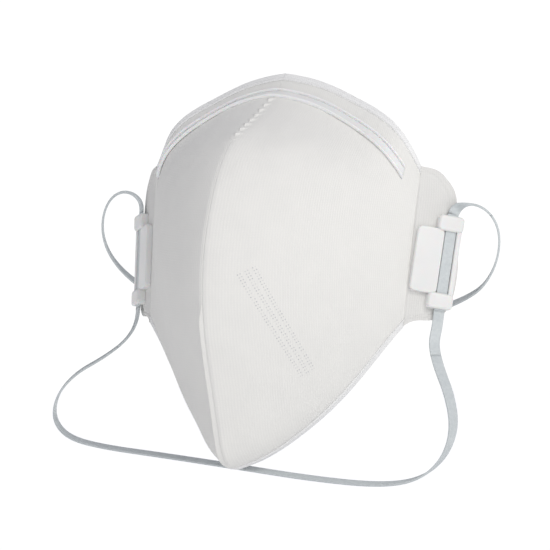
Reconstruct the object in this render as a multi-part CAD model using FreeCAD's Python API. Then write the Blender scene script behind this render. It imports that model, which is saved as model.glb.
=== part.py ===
import FreeCAD, Part

import math
import os
from functools import lru_cache

from FreeCAD import Vector

# Disposable vertical-fold dust mask: two laminated half shells joined along a front ridge, a formable
# nose strip, two plastic band buckles on side tabs, and one elastic band that makes a head and a neck loop.
#
# Frame, in millimetres: +Z up towards the nose, -Y out of the face, +X the half on the right in front view.
# The origin is the middle of the face opening. The right half is built, and the left one is its mirror image.

os.makedirs("parts", exist_ok=True)

# ---------------------------------------------------------------- driving sizes
RIDGE_HEIGHT = 152.0  # from the chin to the nose bridge
RIDGE_DEPTH = 62.5  # from the nose bridge forward to the front
# Shape of the front ridge, from the chin to the nose bridge: (Y, Z), stretched to the two sizes above.
RIDGE_SHAPE = [
    (-42.0, -76.0), (-50.5, -72.5), (-55.5, -62.0), (-60.0, -45.0), (-65.0, -26.0), (-67.0, -8.0),
    (-65.5, 9.0), (-60.5, 26.0), (-53.5, 40.0), (-44.5, 50.0), (-30.0, 58.0), (-16.0, 65.5), (-8.0, 71.0),
    (-4.5, 76.0),
]
# Free edges from the ridge's end to the side tab: how far (X, Y, Z) even steps lie off the straight line.
TOP_EDGE = [(5.69, 0.14, 2.9), (12.37, -0.23, 2.2), (16.56, -1.09, 0.6), (12.14, -1.15, 1.5), (6.93, -0.12, 0.0)]
LOWER_EDGE = [(-1.39, 0.46, -5.75), (1.23, 3.92, -6.0), (1.84, 4.39, -5.75), (1.45, 3.85, -4.5),
              (1.57, 2.31, -1.25)]
BULGE = 5.5  # how far a half bows out of its chord
BOW_SCALE = 27 / 4  # makes the most of u * (1 - u) ** 2 one
RIDGE_TURN = 0.12  # share of the way to the tab in which the layers turn into the mid plane
RUN_STEPS = 48  # steps in which lengths on a half are measured

# Laminate, from the outside in: (node, thickness).
LAYERS = [("outer_cover", 0.45), ("filter_media", 0.5), ("support_layer", 0.7), ("inner_lining", 0.4)]
LAYER_GAP = 0.15
RIM_WIDTH = 3.0  # welded band along the free edges
RIM_THICKNESS = 0.9
RIM_DEPTH = 0.3  # from the outer surface to the welded band
EDGE_GAP = 0.3  # between the layers and what they end at
MID_GAP = 0.2  # from a half to the mid plane

# Side tab: a flat flap at TAB_TURN from straight back, leaning by TAB_LEAN, TAB_OUT from the frame's Z axis.
TAB_TURN = 45.0
TAB_LEAN = 4.6
TAB_OUT = 46.5
TAB_ROOT_TOP = (40.0, 40.0)  # (across, height) where the tab's root starts
TAB_ROOT_LOW = (31.5, -20.5)
TAB_THICKNESS = 1.0
TAB_CLEARANCE = 0.3  # from the tab to the rim's slanted end
TAB_ABOVE = 18.4  # from the buckle's upper end to the tab's top
TAB_BELOW = 3.8
TAB_PAST_BUCKLE = 0.75  # the tab's outer edge, past the buckle's bridges
TAB_TOP_CUTS = [(6.5, 1.5), (0.0, 9.5)]  # outer corners: (in from the edge, down from the top)
TAB_LOW_CUTS = [(0.0, 20.5), (2.6, 9.0), (8.0, 0.0)]  # (in from the edge, up from the foot)
TAB_FOOT = 3.0  # level part of the foot's inner end
TAB_CORNER = 3.3

# Seam fins in the mid plane.
FIN_THICKNESS = 1.2
NOSE_FIN_WIDTH = 0.8
CHIN_FIN_WIDTH = 2.0
NOSE_FIN_LENGTH = 33.0  # along the ridge
NOSE_FIN_GAP = 2.07  # from the nose strip
CHIN_FIN_START = 3.96  # from the ridge's lower end
CHIN_FIN_LENGTH = 68.31
FIN_FOOT = 0.2  # least width, at the ends

# Nose strip: a web between two sheathed wires, running along the top edge.
STRIP_WEB = 2.8
STRIP_WEB_THICKNESS = 0.5
WIRE_WIDTH = 1.0
WIRE_HEIGHT = 1.0
STRIP_GAP = 0.3  # over the cover
WIRE_GAP = 0.12  # between a wire and the web
STRIP_SET_BACK = (10.6, 12.2)  # from the top edge to the strip's middle, at the ridge and at its end
STRIP_END = 0.865  # share of the way to the tab

# Nose foam, inside the lining.
FOAM_WIDTH = 13.0
FOAM_THICKNESS = 3.0
FOAM_END = 0.62
FOAM_SET_BACK = 11.0

# Buckle: its own directions are across (a), along (b) and out of the tab (n), from the middle of its channel.
BUCKLE_HEIGHT = 3.2  # of its middle, on the tab
BUCKLE_TILT = 10.0
BASE_THICKNESS = 0.8
PAD_WIDTH = 10.6
PAD_LENGTH = 25.0
PAD_HEIGHT = 2.3
PAD_CORNER = 2.0
BAR_WIDTH = 1.9
BAR_HEIGHT = 2.4
PAD_IN_BRIDGE = 0.6  # the pad's end runs this far into a bridge
BRIDGE_LENGTH = 6.0
BRIDGE_ROOF = 1.25  # over the channel
BRIDGE_LAP = 3.1  # over the pad's side
BRIDGE_LIP = 0.3  # past the bar
BRIDGE_CORNER = 1.6
BASE_IN_PAD = 2.0
BASE_INSET = (0.2, 0.5)  # of the base plate, in from the bar's side and from the bridges' ends
BAR_IN_BRIDGE = 2.0
BAR_CORNER = 0.6
TOP_ROUND = 0.5
SEAT_GAP = 0.05

# Heat-staked posts that hold the buckle, and the strip that backs them.
POST_RADIUS = 1.1
POST_SET_IN = 4.5  # from the pad's ends
POST_CLEARANCE = 0.2
HEAD_RADIUS = 1.9
HEAD_THICKNESS = 0.6
BACKING_SET_IN = (1.3, 1.0)  # from the pad's sides and ends
BACKING_THICKNESS = 0.8
BACKING_CORNER = 1.5

# Elastic band.
BAND_WIDTH = 4.2
BAND_THICKNESS = 0.9
BAND_PAST_BRIDGE = 0.3
BAND_CLEARANCE = 0.15
BAND_SIDE_CLEARANCE = 0.25
BAND_END_GAP = 0.5  # between the band in a buckle and its free runs
SPLICE_LENGTH = 9.0
SPLICE_GAP = 0.1

# Routes of the free band, left to right, by hand. The ends at the buckles are worked out, and the points near
# a buckle move with its exit, from where the exit was when they were drawn.
HEAD_EXIT = (69.26, 3.908, 21.673)
NECK_EXIT = (66.756, -2.773, -15.04)
EXIT_REACH = 7  # points
HEAD_ROUTE = [
    (-69.6, 5.1, 25.2), (-73.4, 5.4, 29.0), (-79.6, 6.2, 30.2), (-85.9, 7.5, 27.2), (-90.2, 9.0, 20.4),
    (-91.4, 11.0, 12.2), (-89.4, 14.0, 4.0), (-84.4, 19.5, -4.0), (-75.5, 26.5, -11.5), (-59.5, 33.0, -18.0),
    (-38.0, 37.5, -22.0), (-13.0, 38.8, -23.2), (13.0, 36.8, -21.0), (36.0, 31.0, -17.8),
    (53.5, 24.5, -14.4), (66.5, 19.5, -11.0), (76.0, 16.0, -6.0), (82.8, 13.0, 1.6), (86.4, 10.8, 10.0),
    (87.0, 9.0, 17.8), (84.0, 7.5, 23.8), (78.8, 6.3, 27.0), (73.4, 5.5, 27.0), (69.7, 5.0, 24.4),
]
NECK_ROUTE = [
    (-66.5, -3.3, -20.2), (-69.4, -7.0, -27.8), (-77.0, -12.0, -34.6), (-86.6, -17.0, -40.6),
    (-92.6, -21.0, -48.8), (-92.2, -24.4, -58.2), (-84.0, -27.0, -65.2), (-67.7, -29.0, -68.4),
    (-39.0, -31.0, -71.0), (-6.0, -32.4, -74.4), (27.0, -32.0, -78.2), (55.7, -30.6, -80.2),
    (71.7, -28.0, -78.0), (81.0, -25.0, -70.0), (83.4, -21.0, -58.4), (78.6, -16.0, -46.6),
    (71.0, -10.8, -36.2), (66.2, -6.4, -27.6), (66.4, -3.3, -20.4),
]

# ---------------------------------------------------------------- curves and surfaces


def spline(points):
    """A natural cubic curve through points, as a function of the share of its chord length, 0 to 1."""
    n = len(points) - 1
    at = [0.0]
    for a, b in zip(points, points[1:]):
        at.append(at[-1] + (b - a).Length)
    step = [at[i + 1] - at[i] for i in range(n)]
    bend = [Vector() for _ in points]
    upper, right = [0.0] * (n + 1), [Vector() for _ in points]
    for i in range(1, n):
        low, high = step[i - 1], step[i]
        rise = (points[i + 1] - points[i]) / high - (points[i] - points[i - 1]) / low
        pivot = 2 * (low + high) - low * upper[i - 1]
        upper[i] = high / pivot
        right[i] = (rise * 6 - right[i - 1] * low) / pivot
    for i in range(n - 1, 0, -1):
        bend[i] = right[i] - bend[i + 1] * upper[i]

    def point(share):
        where = share * at[-1]
        i = max(k for k in range(n) if k == 0 or at[k] <= where)
        s, h = where - at[i], step[i]
        r = h - s
        return (
            bend[i] * (r**3 / (6 * h))
            + bend[i + 1] * (s**3 / (6 * h))
            + (points[i] / h - bend[i] * (h / 6)) * r
            + (points[i + 1] / h - bend[i + 1] * (h / 6)) * s
        )

    return point


def smooth(x):
    """0 to 1 with level ends."""
    x = min(1.0, max(0.0, x))
    return x * x * (3 - 2 * x)


turn = math.radians(TAB_TURN)
lean = math.radians(TAB_LEAN)
ACROSS = Vector(math.sin(turn), math.cos(turn), 0)
OUT_FLAT = Vector(math.cos(turn), -math.sin(turn), 0)
OUT = OUT_FLAT * math.cos(lean) + Vector(0, 0, math.sin(lean))
UP = OUT.cross(ACROSS)


def on_tab(across, height):
    """A point of the tab's outer plane, by its place across and its height Z."""
    return ACROSS * across + OUT_FLAT * (TAB_OUT - height * math.tan(lean)) + Vector(0, 0, height)


bridge_y, bridge_z = RIDGE_SHAPE[-1]
deep = RIDGE_DEPTH / (bridge_y - min(y for y, z in RIDGE_SHAPE))
tall = RIDGE_HEIGHT / (bridge_z - RIDGE_SHAPE[0][1])
ridge_points = [Vector(0, bridge_y + (y - bridge_y) * deep, z * tall) for y, z in RIDGE_SHAPE]
root_top, root_low = on_tab(*TAB_ROOT_TOP), on_tab(*TAB_ROOT_LOW)


def edge_points(start, end, offsets):
    steps = len(offsets) + 1
    between = [start + (end - start) * (k / steps) + Vector(*p) for k, p in enumerate(offsets, 1)]
    return [start] + between + [end]


ridge = spline(ridge_points)
top_edge = spline(edge_points(ridge_points[-1], root_top, TOP_EDGE))
lower_edge = spline(edge_points(ridge_points[0], root_low, LOWER_EDGE))


def panel(u, v):
    """The right half's outer surface: u from the ridge to the tab's root, v from the lower edge up."""
    side = root_low + (root_top - root_low) * v
    corners = (
        (ridge_points[0] * (1 - u) + root_low * u) * (1 - v) + (ridge_points[-1] * (1 - u) + root_top * u) * v
    )
    bow = BULGE * BOW_SCALE * u * (1 - u) ** 2 * math.sin(math.pi * min(1.0, max(0.0, v)))
    return (
        ridge(v) * (1 - u) + side * u + lower_edge(u) * (1 - v) + top_edge(u) * v - corners + OUT_FLAT * bow
    )


def outward(u, v):
    """The way out of the panel. At the ridge it stays in the mid plane, so that inner layers meet there."""
    d = 0.004
    u0, u1, v0, v1 = max(0, u - d), min(1, u + d), max(0, v - d), min(1, v + d)
    normal = (panel(u1, v) - panel(u0, v)).cross(panel(u, v1) - panel(u, v0))
    normal.normalize()
    if normal.dot(OUT_FLAT) < 0:
        normal = -normal
    level = Vector(0, normal.y, normal.z) / max(0.25, 1 - normal.x**2)
    s = smooth(u / RIDGE_TURN)
    return level * (1 - s) + normal * s


@lru_cache(maxsize=None)
def run_up(u):
    """Lengths along the panel from its lower edge to even steps of v, at u."""
    points = [panel(u, k / RUN_STEPS) for k in range(RUN_STEPS + 1)]
    lengths = [0.0]
    for a, b in zip(points, points[1:]):
        lengths.append(lengths[-1] + (b - a).Length)
    return lengths


def share_at(u, distance):
    """v at a distance along the panel from its lower edge, at u."""
    lengths = run_up(u)
    k = max(i for i in range(RUN_STEPS) if i == 0 or lengths[i] <= distance)
    return (k + (distance - lengths[k]) / (lengths[k + 1] - lengths[k])) / RUN_STEPS


PANEL_WIDTH = sum((panel((k + 1) / 16, 0.5) - panel(k / 16, 0.5)).Length for k in range(16))


def middle(edge):
    return edge.valueAt((edge.FirstParameter + edge.LastParameter) / 2)


def sheet(u_range, v_low, v_high, outer, inner, nu=16, nv=36):
    """A closed solid over part of the panel, between two depths below its outer surface.

    v_low and v_high give v at each u. A negative depth lies outside the panel.
    """
    skins = []
    for depth in (outer, inner):
        rows = []
        for i in range(nu + 1):
            u = u_range[0] + (u_range[1] - u_range[0]) * i / nu
            low, high = v_low(u), v_high(u)
            row = []
            for j in range(nv + 1):
                v = low + (high - low) * j / nv
                row.append(panel(u, v) - outward(u, v) * depth + Vector(MID_GAP * (1 - u), 0, 0))
            rows.append(row)
        surface = Part.BSplineSurface()
        surface.interpolate(rows)
        skins.append(surface.toShape())
    sides = []
    for edge in skins[0].Edges:
        twin = min(skins[1].Edges, key=lambda e: (middle(e) - middle(edge)).Length)
        sides.append(Part.makeRuledSurface(edge, twin))
    shell = Part.makeShell(skins + sides)
    shell.sewShape()
    solid = Part.makeSolid(shell)
    if solid.Volume < 0:
        solid.reverse()
    return solid


def mirrored(shape):
    return shape.mirror(Vector(), Vector(1, 0, 0))


def save(node, solid):
    solid.exportStep(f"parts/{node}.step")
    print(f"{node}: {solid.Volume:.0f} mm3, {len(solid.Solids)} solid, valid {solid.isValid()}")


def save_pair(node, solid):
    """The node on the right half, and its mirror image on the left."""
    save(f"{node}_right", solid)
    save(f"{node}_left", mirrored(solid))


# ---------------------------------------------------------------- laminate and rim


def from_lower(distance):
    return lambda u: share_at(u, distance)


def from_top(distance):
    return lambda u: share_at(u, run_up(u)[-1] - distance)


layer_edge = RIM_WIDTH + EDGE_GAP
rim_span = (0, 1 - EDGE_GAP / PANEL_WIDTH)
depth = 0.0
for node, thickness in LAYERS:
    layer = sheet(rim_span, from_lower(layer_edge), from_top(layer_edge), depth, depth + thickness)
    save_pair(node, layer)
    depth += thickness + LAYER_GAP
rim_depths = (RIM_DEPTH, RIM_DEPTH + RIM_THICKNESS)
save_pair("rim_weld_top", sheet(rim_span, from_top(RIM_WIDTH), from_top(0), *rim_depths, nv=2))
save_pair("rim_weld_lower", sheet(rim_span, from_lower(0), from_lower(RIM_WIDTH), *rim_depths, nv=2))

# ---------------------------------------------------------------- nose strip and foam


def strip_line(shift):
    """v along the nose strip, shift up or down from its middle."""

    def at(u):
        near, far = STRIP_SET_BACK
        back = near + (far - near) * u / STRIP_END
        return share_at(u, run_up(u)[-1] - back + shift)

    return at


def strip_part(low, high, height):
    depths = (-STRIP_GAP - height, -STRIP_GAP)
    return sheet((0, STRIP_END), strip_line(low), strip_line(high), *depths, nu=16, nv=2)


web = STRIP_WEB / 2
wire_near, wire_far = web + WIRE_GAP, web + WIRE_GAP + WIRE_WIDTH
save_pair("nose_strip_web", strip_part(-web, web, STRIP_WEB_THICKNESS))
save_pair("nose_wire_upper", strip_part(wire_near, wire_far, WIRE_HEIGHT))
save_pair("nose_wire_lower", strip_part(-wire_far, -wire_near, WIRE_HEIGHT))

foam_edges = (from_top(FOAM_SET_BACK + FOAM_WIDTH / 2), from_top(FOAM_SET_BACK - FOAM_WIDTH / 2))
save_pair("nose_foam", sheet((0, FOAM_END), *foam_edges, depth, depth + FOAM_THICKNESS, nv=8))

# ---------------------------------------------------------------- seam fins in the mid plane


def fin(start, length, width):
    """A flat welded fin standing forward of the ridge, from a distance along it."""
    low, high = share_at(0, start), share_at(0, start + length)
    inner, outer = [], []
    for k in range(13):
        s = low + (high - low) * k / 12
        p, way = ridge(s), ridge(min(1, s + 0.002)) - ridge(max(0, s - 0.002))
        forward = Vector(0, -way.z, way.y)
        forward.normalize()
        taper = smooth(min(k, 12 - k) / 2)
        inner.append(p + forward * EDGE_GAP)
        outer.append(p + forward * (EDGE_GAP + FIN_FOOT + (width - FIN_FOOT) * taper))
    edges = []
    for side in (inner, outer):
        curve = Part.BSplineCurve()
        curve.interpolate(side)
        edges.append(curve.toShape())
    ends = [Part.makeLine(inner[0], outer[0]), Part.makeLine(inner[-1], outer[-1])]
    wire = Part.Wire(Part.__sortEdges__([edges[0], ends[1], edges[1], ends[0]]))
    face = Part.Face(wire)
    face.translate(Vector(-FIN_THICKNESS / 2, 0, 0))
    return face.extrude(Vector(FIN_THICKNESS, 0, 0))


nose_fin_top = run_up(0)[-1] - STRIP_SET_BACK[0] - wire_far - NOSE_FIN_GAP
save("nose_seam", fin(nose_fin_top - NOSE_FIN_LENGTH, NOSE_FIN_LENGTH, NOSE_FIN_WIDTH))
save("chin_seam", fin(CHIN_FIN_START, CHIN_FIN_LENGTH, CHIN_FIN_WIDTH))

# ---------------------------------------------------------------- side tab, buckle and backing

tilt = math.radians(BUCKLE_TILT)
LONG = UP * math.cos(tilt) + ACROSS * math.sin(tilt)
WIDE = ACROSS * math.cos(tilt) - UP * math.sin(tilt)

# Sizes that follow from those that fit together.
splay = OUT.dot(outward(1, 0))
tab_gap = TAB_CLEARANCE + (RIM_DEPTH + RIM_THICKNESS) * math.sqrt(1 - splay**2) - EDGE_GAP
channel = BAND_WIDTH / 2 + BAND_SIDE_CLEARANCE
root_share = (BUCKLE_HEIGHT - TAB_ROOT_LOW[1]) / (TAB_ROOT_TOP[1] - TAB_ROOT_LOW[1])
root_across = TAB_ROOT_LOW[0] + (TAB_ROOT_TOP[0] - TAB_ROOT_LOW[0]) * root_share
buckle_across = root_across + tab_gap + PAD_WIDTH + channel
pad_half = PAD_LENGTH / 2
bridge_from = pad_half - PAD_IN_BRIDGE
bridge_to = bridge_from + BRIDGE_LENGTH
tab_edge = buckle_across + channel + BAR_WIDTH + BRIDGE_LIP + TAB_PAST_BUCKLE
tab_top = BUCKLE_HEIGHT + bridge_to + TAB_ABOVE
tab_low = BUCKLE_HEIGHT - bridge_to - TAB_BELOW
BUCKLE_CENTRE = on_tab(buckle_across, BUCKLE_HEIGHT)


def buckle_point(a, b, n):
    return BUCKLE_CENTRE + WIDE * a + LONG * b + OUT * n


def block(a, b, n, corner=0.0, top=0.0):
    """A box in the buckle's own directions, each a (low, high) pair, with rounded corners and top edges."""
    box = Part.makeBox(a[1] - a[0], b[1] - b[0], n[1] - n[0])
    if corner:
        box = box.makeFillet(corner, [e for e in box.Edges if abs(e.tangentAt(e.FirstParameter).z) > 0.9])
    if top:
        box = box.makeFillet(top, [e for e in box.Edges if e.BoundBox.ZMin > n[1] - n[0] - 0.01])
    at = buckle_point(a[0], b[0], n[0])
    rows = [(WIDE.x, LONG.x, OUT.x, at.x), (WIDE.y, LONG.y, OUT.y, at.y), (WIDE.z, LONG.z, OUT.z, at.z)]
    return box.transformed(FreeCAD.Matrix(*rows[0], *rows[1], *rows[2], 0, 0, 0, 1))


def post(radius, a, b, n):
    return Part.makeCylinder(radius, n[1] - n[0], buckle_point(a, b, n[0]), OUT)


def tab_outline():
    """The tab's flat outline with rounded outer corners."""
    (top_across, top_height), (low_across, low_height) = TAB_ROOT_TOP, TAB_ROOT_LOW
    corners = [on_tab(top_across + tab_gap, top_height)]
    corners += [on_tab(tab_edge - inward, tab_top - down) for inward, down in TAB_TOP_CUTS]
    corners += [on_tab(tab_edge - inward, tab_low + rise) for inward, rise in TAB_LOW_CUTS]
    corners += [
        on_tab(low_across + tab_gap + TAB_FOOT, tab_low),
        on_tab(low_across + tab_gap, low_height + min(0, tab_low - low_height)),
    ]
    face = Part.Face(Part.makePolygon(corners + corners[:1]))
    plate = face.extrude(-OUT * TAB_THICKNESS)
    outer = [
        e
        for e in plate.Edges
        if abs(e.tangentAt(e.FirstParameter).dot(OUT)) > 0.9
        and any((e.valueAt(e.FirstParameter) - c).Length < TAB_THICKNESS + 0.1 for c in corners[1:6])
    ]
    return plate.makeFillet(TAB_CORNER, outer)


pad_a = (-channel - PAD_WIDTH, -channel)
bar_a = (channel, channel + BAR_WIDTH)
bridge_a = (-channel - BRIDGE_LAP, bar_a[1] + BRIDGE_LIP)
base_top = SEAT_GAP + BASE_THICKNESS
band_n = (base_top + BAND_CLEARANCE, base_top + BAND_CLEARANCE + BAND_THICKNESS)
tunnel_n = (base_top, band_n[1] + BAND_CLEARANCE)
bridge_n = (SEAT_GAP, tunnel_n[1] + BRIDGE_ROOF)
base_a = (-channel - BASE_IN_PAD, bar_a[1] - BASE_INSET[0])
base_half = bridge_to - BASE_INSET[1]
bar_half = bridge_from + BAR_IN_BRIDGE

buckle = block(pad_a, (-pad_half, pad_half), (SEAT_GAP, PAD_HEIGHT), PAD_CORNER, TOP_ROUND)
for piece in (
    block(base_a, (-base_half, base_half), (SEAT_GAP, base_top)),
    block(bar_a, (-bar_half, bar_half), (SEAT_GAP, BAR_HEIGHT), BAR_CORNER, TOP_ROUND),
    block(bridge_a, (bridge_from, bridge_to), bridge_n, BRIDGE_CORNER, TOP_ROUND * 2),
    block(bridge_a, (-bridge_to, -bridge_from), bridge_n, BRIDGE_CORNER, TOP_ROUND * 2),
):
    buckle = buckle.fuse(piece)
buckle = buckle.cut(block((-channel, channel), (-2 * bridge_to, 2 * bridge_to), tunnel_n))
buckle = buckle.cut(block((-channel, channel), (-bridge_from, bridge_from), (base_top, 2 * bridge_n[1])))
pad_middle = (pad_a[0] + pad_a[1]) / 2
stake = -TAB_THICKNESS - BACKING_THICKNESS - 3 * SEAT_GAP
posts_b = (POST_SET_IN - pad_half, pad_half - POST_SET_IN)
for b in posts_b:
    buckle = buckle.fuse(post(POST_RADIUS, pad_middle, b, (stake, base_top)))
    buckle = buckle.fuse(post(HEAD_RADIUS, pad_middle, b, (stake - HEAD_THICKNESS, stake)))
save_pair("buckle", buckle.removeSplitter().Solids[0])

tab = tab_outline()
backing_n = (-TAB_THICKNESS - SEAT_GAP - BACKING_THICKNESS, -TAB_THICKNESS - SEAT_GAP)
backing_a = (pad_a[0] + BACKING_SET_IN[0], pad_a[1] - BACKING_SET_IN[0])
backing_half = pad_half - BACKING_SET_IN[1]
backing = block(backing_a, (-backing_half, backing_half), backing_n, BACKING_CORNER)
for b in posts_b:
    hole = post(POST_RADIUS + POST_CLEARANCE, pad_middle, b, (2 * stake, -2 * stake))
    tab = tab.cut(hole)
    backing = backing.cut(hole)
save_pair("side_tab", tab.Solids[0])
save_pair("buckle_backing", backing.Solids[0])

# ---------------------------------------------------------------- elastic band

band_middle = (band_n[0] + band_n[1]) / 2
half_band = bridge_to + BAND_PAST_BRIDGE
save_pair("band_in_buckle", block((-BAND_WIDTH / 2, BAND_WIDTH / 2), (-half_band, half_band), band_n))
upper_exit = buckle_point(0, half_band + BAND_END_GAP, band_middle)
lower_exit = buckle_point(0, -half_band - BAND_END_GAP, band_middle)
CORD_RADIUS = math.sqrt(BAND_WIDTH * BAND_THICKNESS / math.pi)


def in_mirror(point):
    return Vector(-point.x, point.y, point.z)


def tube(name, points):
    """A round bar with the band's section area, along straight runs joined by tangent arcs."""
    edges, at = [], points[0]
    for before, corner, after in zip(points, points[1:], points[2:]):
        run_in, run_out = corner - before, after - corner
        shorter = 0.45 * min(run_in.Length, run_out.Length)
        bend = run_in.getAngle(run_out)
        radius = shorter / math.tan(bend / 2)
        start = corner - run_in.normalize() * shorter
        end = corner + run_out.normalize() * shorter
        centre_way = ((start + end) / 2 - corner).normalize()
        centre = corner + centre_way * (radius / math.cos(bend / 2))
        top = centre - centre_way * radius
        edges += [Part.LineSegment(at, start).toShape(), Part.Arc(start, top, end).toShape()]
        at = end
    edges.append(Part.LineSegment(at, points[-1]).toShape())
    path = Part.Wire(edges)
    way = points[1] - points[0]
    section = Part.Wire(Part.makeCircle(CORD_RADIUS, points[0], way))
    solid = path.makePipeShell([section], True, True)
    print(f"{name}: {path.Length:.0f} mm long")
    return solid


def tied(route, drawn, exit_point):
    """The route from the left exit to the right one, its points near an exit moved with it."""
    shift = exit_point - Vector(*drawn)
    points = []
    for k, place in enumerate(route):
        near_left, near_right = smooth(1 - k / EXIT_REACH), smooth(1 - (len(route) - 1 - k) / EXIT_REACH)
        points.append(Vector(*place) + in_mirror(shift) * near_left + shift * near_right)
    return [in_mirror(exit_point)] + points + [exit_point]


head = tied(HEAD_ROUTE, HEAD_EXIT, upper_exit)
neck = tied(NECK_ROUTE, NECK_EXIT, lower_exit)
save("head_strap", tube("head_strap", head))
save("neck_strap", tube("neck_strap", neck))

# The band's two ends overlap in the middle of the head loop, and the lap is welded.
lap = len(HEAD_ROUTE) // 2
before, after = head[lap], head[lap + 1]
along = (after - before).normalize()
back = along.cross(Vector(0, 0, 1)).normalize() * -1
plate = Part.makeBox(SPLICE_LENGTH, BAND_THICKNESS, BAND_WIDTH)
lift = along.cross(back) * -1
at = (before + after) / 2 + back * (CORD_RADIUS + SPLICE_GAP)
at -= along * (SPLICE_LENGTH / 2) + lift * (BAND_WIDTH / 2)
rows = [(along.x, back.x, lift.x, at.x), (along.y, back.y, lift.y, at.y), (along.z, back.z, lift.z, at.z)]
save("band_splice", plate.transformed(FreeCAD.Matrix(*rows[0], *rows[1], *rows[2], 0, 0, 0, 1)))
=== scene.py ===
import math

import bmesh
import bpy
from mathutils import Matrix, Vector, noise


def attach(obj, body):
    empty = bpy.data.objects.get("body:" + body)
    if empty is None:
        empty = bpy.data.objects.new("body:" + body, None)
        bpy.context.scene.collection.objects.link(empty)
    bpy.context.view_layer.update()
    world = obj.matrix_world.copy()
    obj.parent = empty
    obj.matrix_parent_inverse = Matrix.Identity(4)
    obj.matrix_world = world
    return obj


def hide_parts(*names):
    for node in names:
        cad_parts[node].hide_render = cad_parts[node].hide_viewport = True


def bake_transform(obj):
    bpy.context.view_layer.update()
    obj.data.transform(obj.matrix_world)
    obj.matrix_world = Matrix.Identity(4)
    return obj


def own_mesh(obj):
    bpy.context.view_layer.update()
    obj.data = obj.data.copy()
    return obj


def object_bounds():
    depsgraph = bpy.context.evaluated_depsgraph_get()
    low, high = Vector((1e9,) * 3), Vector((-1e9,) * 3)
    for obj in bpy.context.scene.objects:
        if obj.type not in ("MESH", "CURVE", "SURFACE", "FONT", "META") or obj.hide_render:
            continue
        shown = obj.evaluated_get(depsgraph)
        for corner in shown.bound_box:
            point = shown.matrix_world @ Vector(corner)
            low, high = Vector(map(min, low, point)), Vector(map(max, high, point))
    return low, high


# Disposable vertical-fold dust mask. Sizes are in millimetres in the dictionaries and in metres in the
# meshes, and the sizes in a material's look are in metres too.

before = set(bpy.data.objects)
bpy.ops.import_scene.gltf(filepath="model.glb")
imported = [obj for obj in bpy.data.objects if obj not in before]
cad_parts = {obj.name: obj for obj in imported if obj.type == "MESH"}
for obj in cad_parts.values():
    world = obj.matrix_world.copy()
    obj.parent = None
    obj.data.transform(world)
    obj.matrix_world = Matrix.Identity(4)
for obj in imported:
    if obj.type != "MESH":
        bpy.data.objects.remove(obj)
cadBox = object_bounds()
mm = 0.001
joinWithin = 1e-6  # metres: vertices nearer than this are one
scene = bpy.context.scene
print("frame loaded")

# camera

cameraSet = {
    "at": (30.0, 1.0), "distance": 2400.0, "frameWidth": 211.75, "aim": (-5.8, -1.9), "sensor": 36.0,
    "clipEnd": 50.0,
}


def wayTo(azimuth, elevation):
    # the way from the mask to a place, by its angles in degrees
    around, rise = math.radians(azimuth), math.radians(elevation)
    return Vector((math.sin(around) * math.cos(rise), -math.cos(around) * math.cos(rise), math.sin(rise)))


def addCamera():
    away = wayTo(*cameraSet["at"])
    data = bpy.data.cameras.new("camera")
    data.sensor_width = cameraSet["sensor"]
    data.lens = data.sensor_width * cameraSet["distance"] / cameraSet["frameWidth"]
    data.clip_end = cameraSet["clipEnd"]
    camera = bpy.data.objects.new("camera", data)
    turn = away.to_track_quat("Z", "Y")
    right, up = turn @ Vector((1, 0, 0)), turn @ Vector((0, 1, 0))
    aim = right * cameraSet["aim"][0] + up * cameraSet["aim"][1]
    camera.rotation_euler = turn.to_euler()
    camera.location = (aim + away * cameraSet["distance"]) * mm
    scene.collection.objects.link(camera)
    scene.camera = camera


addCamera()
print("camera set")

# the mask's own measures, the same as the frame's

tabSet = {"turn": 45.0, "lean": 4.6, "out": 46.5, "rootTop": (40.0, 40.0), "rootLow": (31.5, -20.5)}
turn, lean = math.radians(tabSet["turn"]), math.radians(tabSet["lean"])
across = Vector((math.sin(turn), math.cos(turn), 0))
outFlat = Vector((math.cos(turn), -math.sin(turn), 0))
out = outFlat * math.cos(lean) + Vector((0, 0, math.sin(lean)))
up = out.cross(across)


def onTab(place, height):
    return across * place + outFlat * (tabSet["out"] - height * math.tan(lean)) + Vector((0, 0, height))


def smooth(x):
    x = min(1.0, max(0.0, x))
    return x * x * (3 - 2 * x)


# buckle directions and the band's places in it
buckleSet = {"at": (48.49, 3.2), "tilt": 10.0, "bandMiddle": 1.45, "bandHalf": 18.2, "bandGap": 0.5}
tilt = math.radians(buckleSet["tilt"])
buckleLong = up * math.cos(tilt) + across * math.sin(tilt)
buckleWide = across * math.cos(tilt) - up * math.sin(tilt)


def onBuckle(a, b, n):
    return onTab(*buckleSet["at"]) + buckleWide * a + buckleLong * b + out * n


def mirrored(p):
    return Vector((-p.x, p.y, p.z))


exitReach = buckleSet["bandHalf"] + buckleSet["bandGap"]
upperExit = onBuckle(0, exitReach, buckleSet["bandMiddle"]) * mm
lowerExit = onBuckle(0, -exitReach, buckleSet["bandMiddle"]) * mm

# elastic band: routes in metres from the left buckle to the right one

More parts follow.
